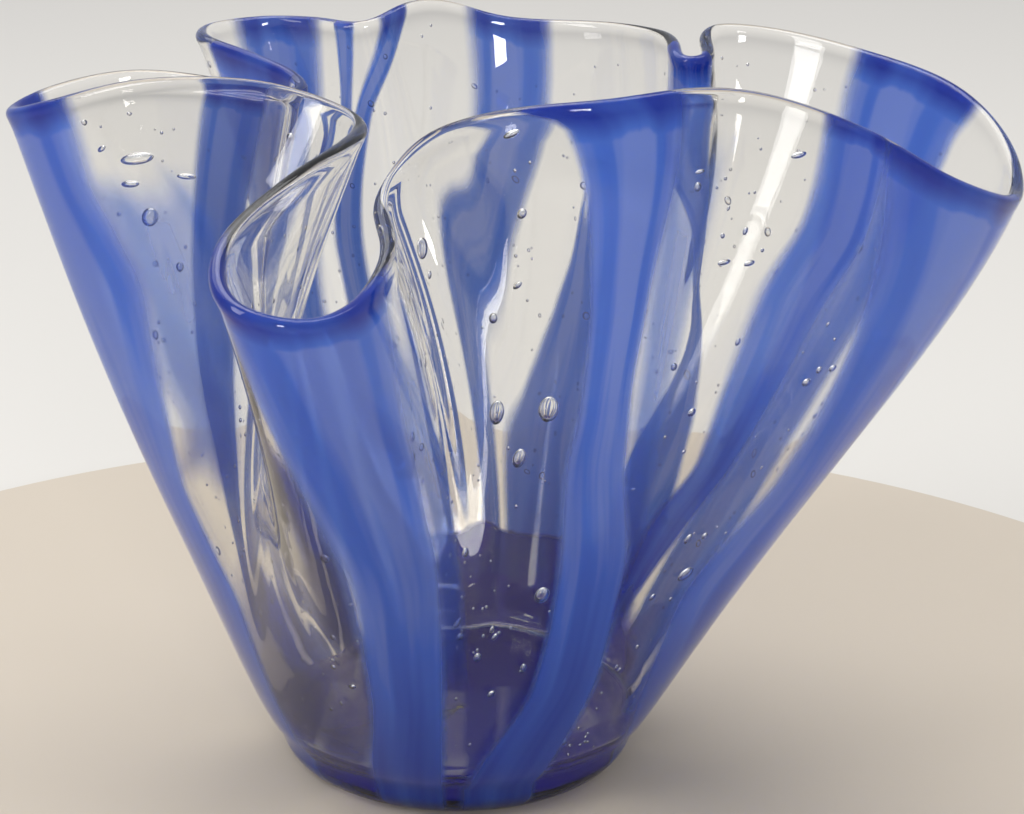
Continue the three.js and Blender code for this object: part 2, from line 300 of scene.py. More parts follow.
class GlassLooks(bpy.types.PropertyGroup):
    clear_colour: bpy.props.FloatVectorProperty(
        name="Clear glass", description="Colour of light through thick clear glass",
        default=(0.70, 0.65, 0.57), min=0.0, max=1.0, subtype="COLOR",
    )
    clear_density: bpy.props.FloatProperty(
        name="Clear density", description="How soon clear glass takes on its colour, per metre",
        default=38.0, min=0.0,
    )
    cobalt_pale: bpy.props.FloatVectorProperty(
        name="Pale cobalt", description="Cobalt glass where it is drawn out thin",
        default=(0.115, 0.29, 0.95), min=0.0, max=1.0, subtype="COLOR",
    )
    cobalt_deep: bpy.props.FloatVectorProperty(
        name="Deep cobalt", description="Cobalt glass where it is thick",
        default=(0.012, 0.055, 0.56), min=0.0, max=1.0, subtype="COLOR",
    )
    cobalt_pooled: bpy.props.FloatVectorProperty(
        name="Pooled cobalt", description="Cobalt glass where it has run together at the foot",
        default=(0.018, 0.016, 0.62), min=0.0, max=1.0, subtype="COLOR",
    )
    smoky_violet: bpy.props.FloatVectorProperty(
        name="Smoky violet", description="Thin stained glass low on the front left wall",
        default=(0.085, 0.085, 0.25), min=0.0, max=1.0, subtype="COLOR",
    )
    cobalt_milk: bpy.props.FloatVectorProperty(
        name="Milky cobalt", description="The palest streaks in a strip",
        default=(0.30, 0.44, 0.98), min=0.0, max=1.0, subtype="COLOR",
    )
    cobalt_cover: bpy.props.FloatProperty(
        name="Cobalt cover", description="How much a strip hides of what is behind it",
        default=1.0, min=0.0, max=1.0, subtype="FACTOR",
    )
    thin_cover: bpy.props.FloatProperty(
        name="Thin cover", description="How much a strip on the far side hides",
        default=0.86, min=0.0, max=1.0, subtype="FACTOR",
    )
    pool_cover: bpy.props.FloatProperty(
        name="Pool cover", description="How much pooled cobalt hides of what is behind it",
        default=1.0, min=0.0, max=1.0, subtype="FACTOR",
    )
    veil_cover: bpy.props.FloatProperty(
        name="Veil cover", description="How much a thin veil hides of what is behind it",
        default=0.60, min=0.0, max=1.0, subtype="FACTOR",
    )
    cobalt_clearness: bpy.props.FloatProperty(
        name="Cobalt clearness", description="How much light goes straight through a strip",
        default=0.40, min=0.0, max=1.0, subtype="FACTOR",
    )


class StageSettings(bpy.types.PropertyGroup):
    floor_colour: bpy.props.FloatVectorProperty(
        name="Floor", description="Colour of the floor all round",
        default=(0.66, 0.635, 0.59), min=0.0, max=1.0, subtype="COLOR",
    )
    table_colour: bpy.props.FloatVectorProperty(
        name="Table", description="Colour of the table that the bowl stands on",
        default=(0.56, 0.49, 0.40), min=0.0, max=1.0, subtype="COLOR",
    )
    daylight: bpy.props.FloatProperty(
        name="Daylight", description="Strength of the even light from all round",
        default=0.60, min=0.0,
    )
    even_light: bpy.props.FloatProperty(
        name="Even light", description="Strength of the wide light that reaches the whole floor",
        default=0.85, min=0.0,
    )
    softbox_power: bpy.props.FloatProperty(
        name="Softbox power", description="Power of the main softbox",
        default=11.0, min=0.0, unit="POWER",
    )


# ---- The surface of the bowl ----


def rim_line(sizes):
    """The rim as close-set points, and how far along the rim each one is."""
    points = []
    for direction, push, drop in RIM_POINTS:
        reach = sizes.rim_reach + push * MM
        turn = math.radians(direction)
        points.append((
            RIM_LEAN[0] + reach * math.cos(turn),
            RIM_LEAN[1] + reach * math.sin(turn),
            sizes.height - drop * MM,
        ))
    points = np.array(points)
    before, after, beyond = (np.roll(points, -k, axis=0) for k in (-1, 1, 2))
    gap_before, gap, gap_after = (
        np.sqrt(np.linalg.norm(b - a, axis=1))[:, None]
        for a, b in ((before, points), (points, after), (after, beyond))
    )
    leave = (points - before) / gap_before - (after - before) / (gap_before + gap)
    leave = (leave + (after - points) / gap) * gap
    arrive = (after - points) / gap - (beyond - points) / (gap + gap_after)
    arrive = (arrive + (beyond - after) / gap_after) * gap
    share = np.linspace(0, 1, RIM_SAMPLES, endpoint=False)[None, :, None]
    square, cube = share**2, share**3
    line = (
        points[:, None] * (2 * cube - 3 * square + 1)
        + leave[:, None] * (cube - 2 * square + share)
        + after[:, None] * (3 * square - 2 * cube)
        + arrive[:, None] * (cube - square)
    ).reshape(-1, 3)
    line = np.vstack([line, line[:1]])
    length = np.concatenate([[0], np.cumsum(np.linalg.norm(np.diff(line, axis=0), axis=1))])
    return line, length


def softened(line, length):
    """The rim line with its small kinks smoothed out, at even steps round the rim."""
    even = np.linspace(0, length[-1], EVEN_STEPS, endpoint=False)
    points = np.stack([np.interp(even, length, line[:, k]) for k in range(3)], -1)
    waves = np.fft.rfft(points, axis=0)
    turns = np.arange(len(waves)) / length[-1]
    waves *= np.exp(-2 * (math.pi * turns * RIM_SOFTNESS) ** 2)[:, None]
    points = np.fft.irfft(waves, EVEN_STEPS, axis=0)
    return np.vstack([points, points[:1]]), np.linspace(0, 1, EVEN_STEPS + 1)


class Surface:
    """The outside of the bowl as a function of `along` and `up`, which may be arrays."""

    def __init__(self, sizes):
        self.sizes = sizes
        line, length = rim_line(sizes)
        self.point_shares = length / length[-1]
        self.line, self.shares = softened(line, length)

    def rim(self, along):
        along = np.mod(along, 1)
        return np.stack([np.interp(along, self.shares, self.line[:, k]) for k in range(3)], -1)

    def outside(self, along, up):
        up = np.maximum(up, 0)
        rim = self.rim(along)
        turn = np.radians(FOOT_TURN) + 2 * math.pi * along
        foot = self.sizes.foot_radius
        radius = foot + (self.sizes.rim_reach - foot) * up**FLARE_SHAPE
        lean = up**LEAN_SHAPE
        ruffle = up**RUFFLE_SHAPE
        x = (RIM_LEAN[0] * lean + radius * np.cos(turn)) * (1 - ruffle) + rim[..., 0] * ruffle
        y = (RIM_LEAN[1] * lean + radius * np.sin(turn)) * (1 - ruffle) + rim[..., 1] * ruffle
        z = self.sizes.heel_height + (rim[..., 2] - self.sizes.heel_height) * up
        return np.stack([x, y, z], -1)

    def slopes(self, along, up):
        """The directions out of the glass and up the wall, each of length 1."""
        low = np.maximum(up, SLOPE_STEP)
        across = self.outside(along + SLOPE_STEP, low) - self.outside(along - SLOPE_STEP, low)
        rise = self.outside(along, low + SLOPE_STEP) - self.outside(along, low - SLOPE_STEP)
        out = np.cross(across, rise)
        return (
            out / np.linalg.norm(out, axis=-1, keepdims=True),
            rise / np.linalg.norm(rise, axis=-1, keepdims=True),
        )

    def inside_depth(self, up):
        """How deep the inside face lies at a height on the wall."""
        thick = self.sizes.low_wall - self.sizes.wall
        return self.sizes.wall + thick * np.maximum(1 - up, 0) ** 2

    def wall(self, along, up, depth):
        out, _ = self.slopes(along, up)
        return self.outside(along, up) - out * np.asarray(depth)[..., None]

    def under(self, along, share, depth, base_depth):
        """Round the heel and in under the floor, from the wall at 0 to the middle at 1."""
        heel = self.sizes.heel_height
        flat = self.sizes.foot_radius - heel
        bend = heel * math.pi / 2
        way = share * (bend + flat)
        angle = np.minimum(way / heel, math.pi / 2)
        deep = depth + (base_depth - depth) * np.sin(angle) ** 2
        radius = flat + (heel - deep) * np.cos(angle) - np.maximum(way - bend, 0)
        height = heel - (heel - deep) * np.sin(angle)
        return ring_at(radius, height, np.radians(FOOT_TURN) + 2 * math.pi * along)


# ---- Helpers for meshes ----


def add_object_of(primitive, name, **settings):
    """Adds a primitive with nothing else selected, and gives it its name."""
    if bpy.context.object and bpy.context.object.mode != "OBJECT":
        bpy.ops.object.mode_set(mode="OBJECT")
    bpy.ops.object.select_all(action="DESELECT")
    primitive(**settings)
    piece = bpy.context.object
    piece.name = name
    piece.data.name = name
    return piece


def place_vertices(piece, positions):
    piece.data.vertices.foreach_set("co", np.asarray(positions, dtype=np.float32).ravel())
    piece.data.update()


def vertex_positions(piece):
    flat = np.empty(len(piece.data.vertices) * 3, dtype=np.float32)
    piece.data.vertices.foreach_get("co", flat)
    return flat.reshape(-1, 3).astype(float)


def ripple_of(positions, size):
    """A smooth unevenness at each position, between about -1 and 1."""
    return np.array([noise.noise(Vector(p) / size) for p in positions])


# ---- The clear glass ----

COLUMNS = 560
BASE_RINGS, HEEL_RINGS, WALL_RINGS, LIP_RINGS, FILLET_RINGS, FLOOR_RINGS = 4, 6, 48, 8, 6, 4
BEAD_REACH = 0.02  # share of the height over which the rim bead swells
CROWD = 0.55  # how much the columns crowd where the rim turns sharply


def column_shares(surface):
    """Where each column stands along the rim. Half of their spacing follows the rim's points."""
    steps = np.linspace(0, 1, COLUMNS, endpoint=False)
    points = np.interp(steps, np.linspace(0, 1, len(surface.point_shares)), surface.point_shares)
    return steps * (1 - CROWD) + points * CROWD


def heel_rings(surface, along):
    """Rings over the base and round the heel, from the middle out."""
    sizes = surface.sizes
    turn = np.radians(FOOT_TURN) + 2 * math.pi * along
    flat = sizes.foot_radius - sizes.heel_height
    rings = []
    for step in range(1, BASE_RINGS + 1):
        rings.append(ring_at(flat * step / BASE_RINGS, 0, turn))
    for step in range(1, HEEL_RINGS):
        angle = math.pi / 2 * step / HEEL_RINGS
        radius = flat + sizes.heel_height * math.sin(angle)
        rings.append(ring_at(radius, sizes.heel_height * (1 - math.cos(angle)), turn))
    return rings


def ring_at(radius, height, turn):
    return np.stack([radius * np.cos(turn), radius * np.sin(turn), height + 0 * turn], -1)


def wall_heights(low, count):
    """Heights up the wall, closer together towards the rim."""
    share = np.linspace(0, 1, count)
    return low + (1 - low) * (1.25 * share - 0.25 * share**3)


def bead_swell(surface, up):
    near = np.clip((up - (1 - BEAD_REACH)) / BEAD_REACH, 0, 1)
    return surface.sizes.bead * near**2 * (3 - 2 * near)


def lip_rings(surface, along):
    """Rings over the round rim, from the outside face to the inside face."""
    out, rise = surface.slopes(along, np.ones_like(along))
    half = surface.inside_depth(1.0) / 2 + surface.sizes.bead
    deep = np.full_like(along, half - surface.sizes.bead)
    middle = surface.wall(along, np.ones_like(along), deep)
    rings = []
    for step in range(1, LIP_RINGS):
        angle = math.pi * step / LIP_RINGS
        rings.append(middle + out * half * math.cos(angle) + rise * half * math.sin(angle))
    return rings


def floor_rings(surface, along, floor_up):
    """Rings from the foot of the inside wall, round the fillet and in over the floor."""
    sizes = surface.sizes
    turn = np.radians(FOOT_TURN) + 2 * math.pi * along
    heights = np.full_like(along, floor_up)
    start = surface.wall(along, heights, surface.inside_depth(heights))
    radius = np.linalg.norm(start[:, :2], axis=1)
    flat = radius - sizes.floor_round
    rings = []
    for step in range(1, FILLET_RINGS + 1):
        angle = math.pi / 2 * step / FILLET_RINGS
        reach = flat + sizes.floor_round * math.cos(angle)
        height = sizes.floor_thickness + sizes.floor_round * (1 - math.sin(angle))
        rings.append(ring_at(reach, height, turn))
    for step in range(1, FLOOR_RINGS):
        rings.append(ring_at(flat * (1 - step / FLOOR_RINGS), sizes.floor_thickness, turn))
    return rings


def bowl_rings(surface):
    """Every ring of the bowl, from the middle of the base up the outside and down the inside."""
    sizes = surface.sizes
    along = column_shares(surface)
    floor_up = (sizes.floor_thickness + sizes.floor_round - sizes.heel_height) / (
        sizes.height - sizes.heel_height
    )
    rings = heel_rings(surface, along)
    for up in wall_heights(0.0, WALL_RINGS):
        rings.append(rippled_ring(surface, along, up, -bead_swell(surface, up), 0.0))
    rings += lip_rings(surface, along)
    for up in wall_heights(floor_up, WALL_RINGS)[::-1]:
        depth = surface.inside_depth(up) + bead_swell(surface, up)
        rings.append(rippled_ring(surface, along, up, depth, 40.0))
    rings += floor_rings(surface, along, floor_up)
    return rings


def rippled_ring(surface, along, up, depth, pattern):
    """A ring on one face of the wall, made uneven away from the rim and the foot."""
    heights = np.full_like(along, up)
    out, _ = surface.slopes(along, heights)
    places = surface.outside(along, heights)
    calm = min(1.0, 12 * (1 - up), 10 * up)
    ripple = ripple_of(places + pattern, 0.022) * surface.sizes.ripple * calm
    return places - out * (depth + ripple)[:, None]


def build_clear_glass(surface):
    """The whole wall and foot as one closed body, shaped from a ball.

    The ball's lowest point becomes the middle of the base and its highest the middle of the
    inside floor, so its rings run up the outside of the bowl, over the rim and down the inside.
    """
    rings = bowl_rings(surface)
    ball = add_object_of(
        bpy.ops.mesh.primitive_uv_sphere_add, "clear_glass",
        segments=COLUMNS, ring_count=len(rings) + 1, radius=1.0, location=(0, 0, 0),
    )
    places = vertex_positions(ball)
    ring = np.round((1 - np.arccos(np.clip(places[:, 2], -1, 1)) / math.pi) * (len(rings) + 1))
    ring = ring.astype(int)
    column = np.round(np.arctan2(places[:, 1], places[:, 0]) / (2 * math.pi) * COLUMNS)
    column = column.astype(int) % COLUMNS
    table = np.array(rings)
    shaped = np.empty_like(places)
    middle = (ring > 0) & (ring < len(rings) + 1)
    shaped[middle] = table[ring[middle] - 1, column[middle]]
    shaped[ring == 0] = (0, 0, 0)
    shaped[ring == len(rings) + 1] = (0, 0, surface.sizes.floor_thickness)
    place_vertices(ball, shaped)
    bpy.ops.object.shade_smooth()
    return ball


# ---- Bubbles: hollows in the clear glass ----

MIDDLING_BUBBLES, SEEDS = 240, 800
BUBBLE_PATTERN = 11  # another number scatters them another way
BUBBLE_FLATNESS = 0.55  # how thick a bubble may be beside the clear glass it lies in
FINE_BUBBLE, MIDDLING_BUBBLE = 2.6, 1.3  # lengths in mm above which a bubble has more faces


def bubble_places():
    """Large bubbles as listed, then small seeds scattered over the wall, the same on every run."""
    chance = np.random.default_rng(BUBBLE_PATTERN)
    bubbles = list(LARGE_BUBBLES)
    for along, up, length, width, lean in chance.random((MIDDLING_BUBBLES, 5)):
        size = 1.3 + 1.9 * length**2
        bubbles.append((100 * along, 0.04 + 0.93 * up, size, size * (0.5 + 0.4 * width), 70 * lean))
    for along, up, size in chance.random((SEEDS, 3)):
        size = 0.5 + 0.6 * size
        bubbles.append((100 * along, 0.03 + 0.95 * up, size * 1.2, size, 0))
    return bubbles


def unit_ball(fineness):
    """The vertices and faces of a ball 1 across."""
    ball = bmesh.new()
    bmesh.ops.create_icosphere(ball, subdivisions=fineness, radius=0.5)
    vertices = np.array([vertex.co for vertex in ball.verts])
    faces = np.array([[vertex.index for vertex in face.verts] for face in ball.faces])
    ball.free()
    return vertices, faces


def shape_bubble(vertices, surface, bubble):
    """One bubble: a small drawn-out ball in the middle of the wall, turned inside out."""
    along, up, length, width, lean = bubble
    share, height = np.array([along / 100]), np.array([up])
    out, rise = (way[0] for way in surface.slopes(share, height))
    depth = surface.inside_depth(up)
    side = np.cross(rise, out)
    side /= np.linalg.norm(side)
    turn = math.radians(lean)
    long_way = (rise * math.cos(turn) + side * math.sin(turn)) * length * MM
    short_way = (side * math.cos(turn) - rise * math.sin(turn)) * width * MM
    thick = out * min(width * MM, depth * BUBBLE_FLATNESS)
    centre = surface.wall(share, height, np.array([depth / 2]))[0]
    return centre + vertices @ np.array([long_way, short_way, thick])


def add_bubbles(glass, surface):
    """Cuts each bubble into the clear glass as a small closed hollow."""
    balls = {fineness: unit_ball(fineness) for fineness in (1, 2, 3)}
    places, corners, count = [], [], 0
    for bubble in bubble_places():
        length = bubble[2]
        vertices, faces = balls[1 + (length >= MIDDLING_BUBBLE) + (length >= FINE_BUBBLE)]
        places.append(shape_bubble(vertices, surface, bubble))
        corners.append(faces + count)
        count += len(vertices)
    hollows = add_object_of(bpy.ops.mesh.primitive_ico_sphere_add, "bubbles", radius=MM)
    hollows.data.clear_geometry()
    hollows.data.from_pydata(
        np.vstack(places).tolist(), [], [face for group in corners for face in group.tolist()]
    )
    bpy.ops.object.shade_smooth()
    glass.select_set(True)
    bpy.context.view_layer.objects.active = glass
    bpy.ops.object.join()


# ---- The strips ----

STRIP_COLUMNS, STRIP_ROWS = 20, 96


def strip_edges(stations, up):
    """Where a strip starts and ends along the rim at each height, on a smooth line."""
    heights, first, last = (np.array(column, dtype=float) for column in zip(*stations))
    return smooth_line(up, heights, first) / 100, smooth_line(up, heights, last) / 100


def smooth_line(at, places, values):
    """A curve through the values that never swings past them."""
    slopes = np.gradient(values, places) if len(places) > 2 else np.zeros(len(places))
    steps = np.diff(values) / np.diff(places)
    if len(places) == 2:
        slopes[:] = steps[0]
    for k in range(1, len(places) - 1):
        if steps[k - 1] * steps[k] <= 0:
            slopes[k] = 0
        else:
            slopes[k] = 2 * steps[k - 1] * steps[k] / (steps[k - 1] + steps[k])
    slopes[0], slopes[-1] = steps[0], steps[-1]
    k = np.clip(np.searchsorted(places, at) - 1, 0, len(places) - 2)
    width = places[k + 1] - places[k]
    t = np.clip((at - places[k]) / width, 0, 1)
    square, cube = t**2, t**3
    return (
        values[k] * (2 * cube - 3 * square + 1) + slopes[k] * width * (cube - 2 * square + t)
        + values[k + 1] * (3 * square - 2 * cube) + slopes[k + 1] * width * (cube - square)
    )


SPILL = 0.07  # how far a strip's faded edge reaches past its given edge, as a share of its width
END_FADE = 0.22  # share of a strip's length over which a free end fades away
STRIP_TOP = 1.004  # a strip reaches up into the rim bead
UNDER_ROWS = 20  # rows of a strip that lie under the heel and the base
UNDER_END, POOL_END = 0.86, 0.98  # how far strips and pools reach in towards the base's middle
RIM_SWELL = 0.012  # share of the height over which a strip thickens into the rim bead
POOL_LIFT = 0.0025  # how far pooled cobalt lies above the strips under the floor


def strip_places(stations, surface, sizes, depth, across, climb):
    """Where the outer face of a strip lies, and how near the rim, for shares of its size."""
    low, high = stations[0][0], stations[-1][0]
    reaches_foot = low == 0.0
    turned = UNDER_ROWS / STRIP_ROWS if reaches_foot else 0.0
    is_pool = depth > sizes.depth
    end = POOL_END if is_pool else UNDER_END
    under = np.clip(1 - climb / max(turned, SLOPE_STEP), 0, 1) * end
    top = STRIP_TOP if high == 1.0 else high
    up = low + (top - low) * np.clip((climb - turned) / (1 - turned), 0, 1)
    first, last = strip_edges(stations, np.minimum(up, high))
    along = first + (last - first) * (across * (1 + 2 * SPILL) - SPILL)
    near_rim = np.clip((up - (1 - RIM_SWELL)) / RIM_SWELL, 0, 1)
    places = surface.wall(along, up, depth * (1 - 0.4 * near_rim))
    if reaches_foot:
        below = climb < turned
        lift = POOL_LIFT if is_pool else 0.0
        places[below] = surface.under(along[below], under[below], depth, sizes.base_depth + lift)
    return places, near_rim


def distance_inside(stations, across, climb):
    """0 on a strip's long edges and on an end that stops in the wall, and 1 along its middle."""
    inside = 2 * np.minimum(across, 1 - across)
    if stations[0][0] > 0:
        inside = np.minimum(inside, climb / END_FADE)
    if stations[-1][0] < 1:
        inside = np.minimum(inside, (1 - climb) / END_FADE)
    return np.clip(inside, 0, 1)


def build_strip(name, stations, surface, sizes, depth):
    """One cobalt strip: a sheet laid on the wall, thinned at its edges and given its thickness."""
    sheet = add_object_of(
        bpy.ops.mesh.primitive_grid_add, name,
        x_subdivisions=STRIP_COLUMNS, y_subdivisions=STRIP_ROWS, size=2.0, location=(0, 0, 0),
    )
    flat = vertex_positions(sheet)
    across, climb = (flat[:, 0] + 1) / 2, (flat[:, 1] + 1) / 2
    places, near_rim = strip_places(stations, surface, sizes, depth, across, climb)
    place_vertices(sheet, places)
    from_edge = np.clip(np.minimum(across, 1 - across) / 0.3, 0, 1)
    body = np.maximum(np.sin(from_edge * math.pi / 2), sizes.edge)
    share = sizes.thickness / sizes.rim_thickness
    body = body * (share + (1 - share) * near_rim)
    group = sheet.vertex_groups.new(name="body")
    for index, weight in enumerate(body):
        group.add([index], float(weight), "REPLACE")
    solid = sheet.modifiers.new("thickness", "SOLIDIFY")
    solid.thickness = sizes.rim_thickness
    solid.offset = -1.0
    solid.vertex_group = "body"
    bpy.ops.object.modifier_apply(modifier=solid.name)
    inside = sheet.data.attributes.new("inside", "FLOAT", "POINT")
    faces = len(sheet.data.vertices) // len(across)
    inside.data.foreach_set("value", np.tile(distance_inside(stations, across, climb), faces))
    bpy.ops.object.shade_smooth()
    return sheet


# ---- Materials ----


def new_material(name):
    """A material with one Principled shader, and its nodes."""
    material = bpy.data.materials.new(name)
    material.use_nodes = True
    nodes = material.node_tree.nodes
    return material, nodes, material.node_tree.links, nodes["Principled BSDF"]


def add_node(nodes, kind, **settings):
    node = nodes.new(kind)
    for key, value in settings.items():
        if key in node.inputs:
            node.inputs[key].default_value = value
        else:
            setattr(node, key, value)
    return node


def clear_glass_material(looks):
    """Clear glass, with the faint drawn-out ripples of hand blowing and a little body colour."""
    material, nodes, links, shader = new_material("clear_glass")
    shader.inputs["Base Color"].default_value = (0.985, 0.985, 0.98, 1)
    shader.inputs["Roughness"].default_value = 0.0
    shader.inputs["IOR"].default_value = 1.46
    shader.inputs["Transmission Weight"].default_value = 1.0
    places = nodes.new("ShaderNodeTexCoord")
    spread = add_node(nodes, "ShaderNodeMapping")
    spread.inputs["Scale"].default_value = (1.0, 1.0, 0.35)
    drawn = add_node(nodes, "ShaderNodeTexNoise", Scale=70.0, Detail=2.0, Roughness=0.45)
    bump = add_node(nodes, "ShaderNodeBump", Strength=0.02, Distance=0.002)
    links.new(places.outputs["Object"], spread.inputs["Vector"])
    links.new(spread.outputs["Vector"], drawn.inputs["Vector"])
    links.new(drawn.outputs["Fac"], bump.inputs["Height"])
    links.new(bump.outputs["Normal"], shader.inputs["Normal"])
    body = add_node(nodes, "ShaderNodeVolumeAbsorption", Density=looks.clear_density)
    body.inputs["Color"].default_value = (*looks.clear_colour, 1)
    links.new(body.outputs["Volume"], nodes["Material Output"].inputs["Volume"])
    return material


def cobalt_material(name, colours, clearness, feather, cover):
    """Milky cobalt glass: streaks drawn along the strip, and edges that feather into the clear.

    `colours` go from its thickest parts to its palest, and `cover` is how much it hides of what
    is behind.
    """
    material, nodes, links, shader = new_material(name)
    shader.inputs["Roughness"].default_value = 0.12
    shader.inputs["IOR"].default_value = 1.0
    shader.inputs["Transmission Weight"].default_value = clearness
    sheet = add_node(nodes, "ShaderNodeUVMap", uv_map="UVMap")
    parts = nodes.new("ShaderNodeSeparateXYZ")
    streaks = drawn_streaks(nodes, links, sheet)
    links.new(sheet.outputs["UV"], parts.inputs["Vector"])
    links.new(
        colour_up_the_strip(nodes, links, parts, streaks, colours), shader.inputs["Base Color"]
    )
    links.new(feathered_edge(nodes, links, streaks, feather, cover), shader.inputs["Alpha"])
    return material


def drawn_streaks(nodes, links, sheet):
    """Soft streaks along a strip."""
    stretch = add_node(nodes, "ShaderNodeMapping")
    stretch.inputs["Scale"].default_value = (1.7, 0.8, 1.0)
    streaks = add_node(nodes, "ShaderNodeTexNoise", Scale=2.2, Detail=3.0, Roughness=0.42)
    links.new(sheet.outputs["UV"], stretch.inputs["Vector"])
    links.new(stretch.outputs["Vector"], streaks.inputs["Vector"])
    return streaks.outputs["Fac"]


def colour_up_the_strip(nodes, links, parts, streaks, colours):
    """Deep at the foot of a strip and in the rim bead, paler between them."""
    height = nodes.new("ShaderNodeValToRGB")
    paleness = height.color_ramp.elements
    paleness[0].position, paleness[0].color = 0.12, (0, 0, 0, 1)
    paleness[1].position, paleness[1].color = 0.55, (0.5, 0.5, 0.5, 1)
    for position, value in ((0.965, 0.55), (0.99, 0.0)):
        paleness.new(position).color = (value, value, value, 1)
    paler = add_node(nodes, "ShaderNodeMath", operation="MULTIPLY_ADD")
    paler.inputs[1].default_value = 0.9
    ramp = nodes.new("ShaderNodeValToRGB")
    deep, pale, milk = colours
    ramp.color_ramp.elements[0].position = 0.36
    ramp.color_ramp.elements[0].color = (*deep, 1)
    ramp.color_ramp.elements[1].position = 0.88
    ramp.color_ramp.elements[1].color = (*pale, 1)
    ramp.color_ramp.elements.new(1.0).color = (*milk, 1)
    links.new(parts.outputs["Y"], height.inputs["Fac"])
    links.new(streaks, paler.inputs[0])
    links.new(height.outputs["Color"], paler.inputs[2])
    links.new(paler.outputs["Value"], ramp.inputs["Fac"])
    return ramp.outputs["Color"]


def feathered_edge(nodes, links, streaks, feather, cover):
    """Full cover in a strip's middle and none at its edges, along a wandering line."""
    inside = add_node(nodes, "ShaderNodeAttribute", attribute_name="inside")
    wander = add_node(nodes, "ShaderNodeMath", operation="MULTIPLY_ADD")
    wander.inputs[1].default_value = -0.55
    fade = add_node(nodes, "ShaderNodeMapRange", interpolation_type="SMOOTHSTEP")
    fade.inputs["From Min"].default_value = -0.24
    fade.inputs["From Max"].default_value = -0.24 + feather
    fade.inputs["To Max"].default_value = cover
    links.new(streaks, wander.inputs[0])
    links.new(inside.outputs["Fac"], wander.inputs[2])
    links.new(wander.outputs["Value"], fade.inputs["Value"])
    return fade.outputs["Result"]


def stage_material(name, colour):
    material, nodes, links, shader = new_material(name)
    shader.inputs["Base Color"].default_value = (*colour, 1)
    shader.inputs["Roughness"].default_value = 0.9
    return material


# ---- Operators ----


class BOWL_OT_clear_glass(bpy.types.Operator):
    """Blow the clear glass: the wall, the round rim, the thick foot and the bubbles in it"""

    bl_idname = "bowl.clear_glass"
    bl_label = "Clear glass"

    def execute(self, context):
        surface = Surface(context.scene.bowl_sizes)
        glass = build_clear_glass(surface)
        add_bubbles(glass, surface)
        glass.data.materials.append(clear_glass_material(context.scene.bowl_looks))
        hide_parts("inner_gather", "outer_casing")
        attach(glass, "root")
        return {"FINISHED"}


class BOWL_OT_cobalt_strips(bpy.types.Operator):
    """Lay the cobalt strips in the wall, from the heel up to the rim"""

    bl_idname = "bowl.cobalt_strips"
    bl_label = "Cobalt strips"

    def execute(self, context):
        surface = Surface(context.scene.bowl_sizes)
        sizes = context.scene.bowl_strips
        looks = context.scene.bowl_looks
        colours = (looks.cobalt_deep, looks.cobalt_pale, looks.cobalt_milk)
        near = cobalt_material(
            "cobalt_glass", colours, looks.cobalt_clearness, sizes.feather, looks.cobalt_cover
        )
        far = cobalt_material(
            "milky_cobalt", colours, looks.cobalt_clearness, sizes.feather * 1.5, looks.thin_cover
        )
        for number, (place, stations) in enumerate(STRIPS.items(), start=1):
            strip = build_strip(
                f"strip_{number:02d}_{place}", stations, surface, sizes, sizes.depth
            )
            strip.data.materials.append(far if place in THIN_STRIPS else near)
            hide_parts(f"blue_strip_{number:02d}")
            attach(strip, "root")
        return {"FINISHED"}


class BOWL_OT_cobalt_veils(bpy.types.Operator):
    """Pool cobalt at the foot, and draw thin milky veils of it out beside the strips"""

    bl_idname = "bowl.cobalt_veils"
    bl_label = "Cobalt pools and veils"

    def execute(self, context):
        surface = Surface(context.scene.bowl_sizes)
        sizes = context.scene.bowl_strips
        looks = context.scene.bowl_looks
        colours = (looks.cobalt_pooled, looks.cobalt_pooled, looks.cobalt_deep)
        pooled = cobalt_material(
            "pooled_cobalt", colours, looks.cobalt_clearness, sizes.feather, looks.pool_cover
        )
        for place, stations in POOLS.items():
            pool = build_strip(f"pool_{place}", stations, surface, sizes, sizes.veil_depth)
            pool.data.materials.append(pooled)
            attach(pool, "root")
        colours = (looks.cobalt_deep, looks.cobalt_pale, looks.cobalt_milk)
        material = cobalt_material(
            "thin_cobalt", colours, looks.cobalt_clearness, sizes.veil_feather, looks.veil_cover
        )
        smoky = cobalt_material(
            "smoky_violet", (looks.smoky_violet, looks.smoky_violet, looks.cobalt_deep),
            looks.cobalt_clearness, sizes.veil_feather, looks.veil_cover,
        )
        for place, stations in VEILS.items():
            veil = build_strip(f"veil_{place}", stations, surface, sizes, sizes.veil_depth)
            veil.data.materials.append(smoky if place in SMOKY_VEILS else material)
            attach(veil, "root")
        return {"FINISHED"}


class BOWL_OT_stage(bpy.types.Operator):
    """Set the pale floor and backdrop, the softboxes and the camera"""

    bl_idname = "bowl.stage"
    bl_label = "Stage"

    def execute(self, context):
        settings = context.scene.bowl_stage
        set_backdrop(settings)
        set_lights(context.scene, settings)
        set_camera(context.scene)
        return {"FINISHED"}


FLOOR_REACH = 4.0
TABLE_REACH = 0.27  # the round table that the bowl stands on
TABLE_TOP = -0.0003  # just clear of the bowl's base
TABLE_THICKNESS = 0.012


